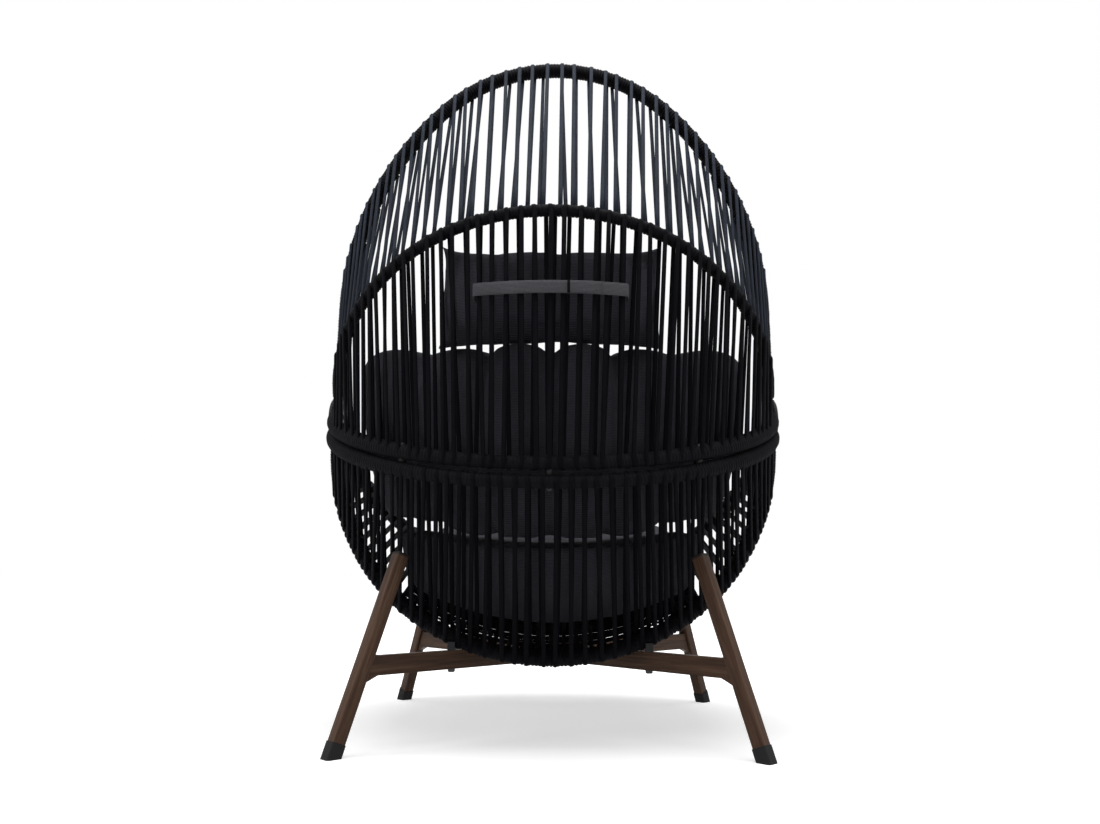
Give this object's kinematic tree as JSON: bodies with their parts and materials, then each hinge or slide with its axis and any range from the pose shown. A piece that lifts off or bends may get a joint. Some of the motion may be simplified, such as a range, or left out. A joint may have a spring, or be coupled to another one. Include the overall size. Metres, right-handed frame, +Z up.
{
  "type": "rope egg chair",
  "caption": "Egg-shaped lounge chair: a corded hood bolted to a corded basket on a crossed four-legged base, with loose seat and back cushions and a strapped headrest pillow.",
  "frame": {"origin": "on the floor, at the centre of the footprint between the four feet", "axes": "+Z up, +Y towards the chair's back, +X towards its left side as seen from behind"},
  "size_m": [0.976, 0.8863, 1.5253],
  "materials": {
    "leg_finish": "satin brown with a wood-look grain",
    "foot_rubber": "matte black",
    "cap_plastic": "matte dark",
    "bolt_steel": "zinc plated",
    "black_metal": "powder coated black",
    "frame_tube": "powder coated black",
    "cord": "flat braided cord, black",
    "cushion_fabric": "ribbed charcoal outdoor fabric",
    "strap_webbing": "mottled grey webbing"
  },
  "bodies": {
    "frame": {"leg_rear_left": "leg_finish", "leg_rear_right": "leg_finish", "leg_front_left": "leg_finish", "leg_front_right": "leg_finish", "foot_cap_rear_left": "foot_rubber", "foot_cap_rear_right": "foot_rubber", "foot_cap_front_left": "foot_rubber", "foot_cap_front_right": "foot_rubber", "leg_top_cap_rear_left": "cap_plastic", "leg_top_cap_rear_right": "cap_plastic", "leg_top_cap_front_left": "cap_plastic", "leg_top_cap_front_right": "cap_plastic", "cross_rail_left": "leg_finish", "cross_rail_right": "leg_finish", "centre_bolt": "bolt_steel", "centre_nut": "bolt_steel", "basket_saddle_left": "black_metal", "basket_saddle_right": "black_metal", "seat_post_left": "black_metal", "seat_post_right": "black_metal", "seat_bearer": "black_metal", "mount_bolts": "bolt_steel", "hood_hub_left": "black_metal", "hood_hub_right": "black_metal", "basket_hub_left": "black_metal", "basket_hub_right": "black_metal", "hood_front_tube": "frame_tube", "hood_front_wrap": "cord", "hood_mid_tube": "frame_tube", "hood_mid_wrap": "cord", "hood_ring_tube": "frame_tube", "hood_ring_wrap": "cord", "basket_ring_tube": "frame_tube", "basket_ring_wrap": "cord", "basket_lower_tube": "frame_tube", "basket_lower_wrap": "cord", "basket_rim_tube": "frame_tube", "basket_rim_wrap": "cord", "ring_spacers": "black_metal", "ring_bolts": "bolt_steel", "ring_nuts": "bolt_steel", "hood_upper_cords_outer": "cord", "hood_upper_cords_inner": "cord", "hood_rear_cords_outer": "cord", "hood_rear_cords_inner": "cord", "basket_rear_cords_outer": "cord", "basket_rear_cords_inner": "cord", "seat_cords_upper": "cord", "seat_cords_under": "cord"},
    "seat": {"seat_cushion": "cushion_fabric"},
    "back": {"back_cushion": "cushion_fabric"},
    "headrest": {"headrest_pillow": "cushion_fabric", "headrest_strap": "strap_webbing", "strap_overlap": "strap_webbing"}
  },
  "joints": [
    {"name": "headrest_slide", "type": "slide", "parent": "frame", "child": "headrest", "axis": [0, -0.1011, 0.9949], "range_m": [0, 0.03]},
    {"name": "seat_cushion_lift", "type": "slide", "parent": "frame", "child": "seat", "axis": [0, -0.9733, 0.2297], "range_m": [0, 0.12]},
    {"name": "back_cushion_lift", "type": "slide", "parent": "frame", "child": "back", "axis": [0, -0.9877, 0.1564], "range_m": [0, 0.12]}
  ]
}
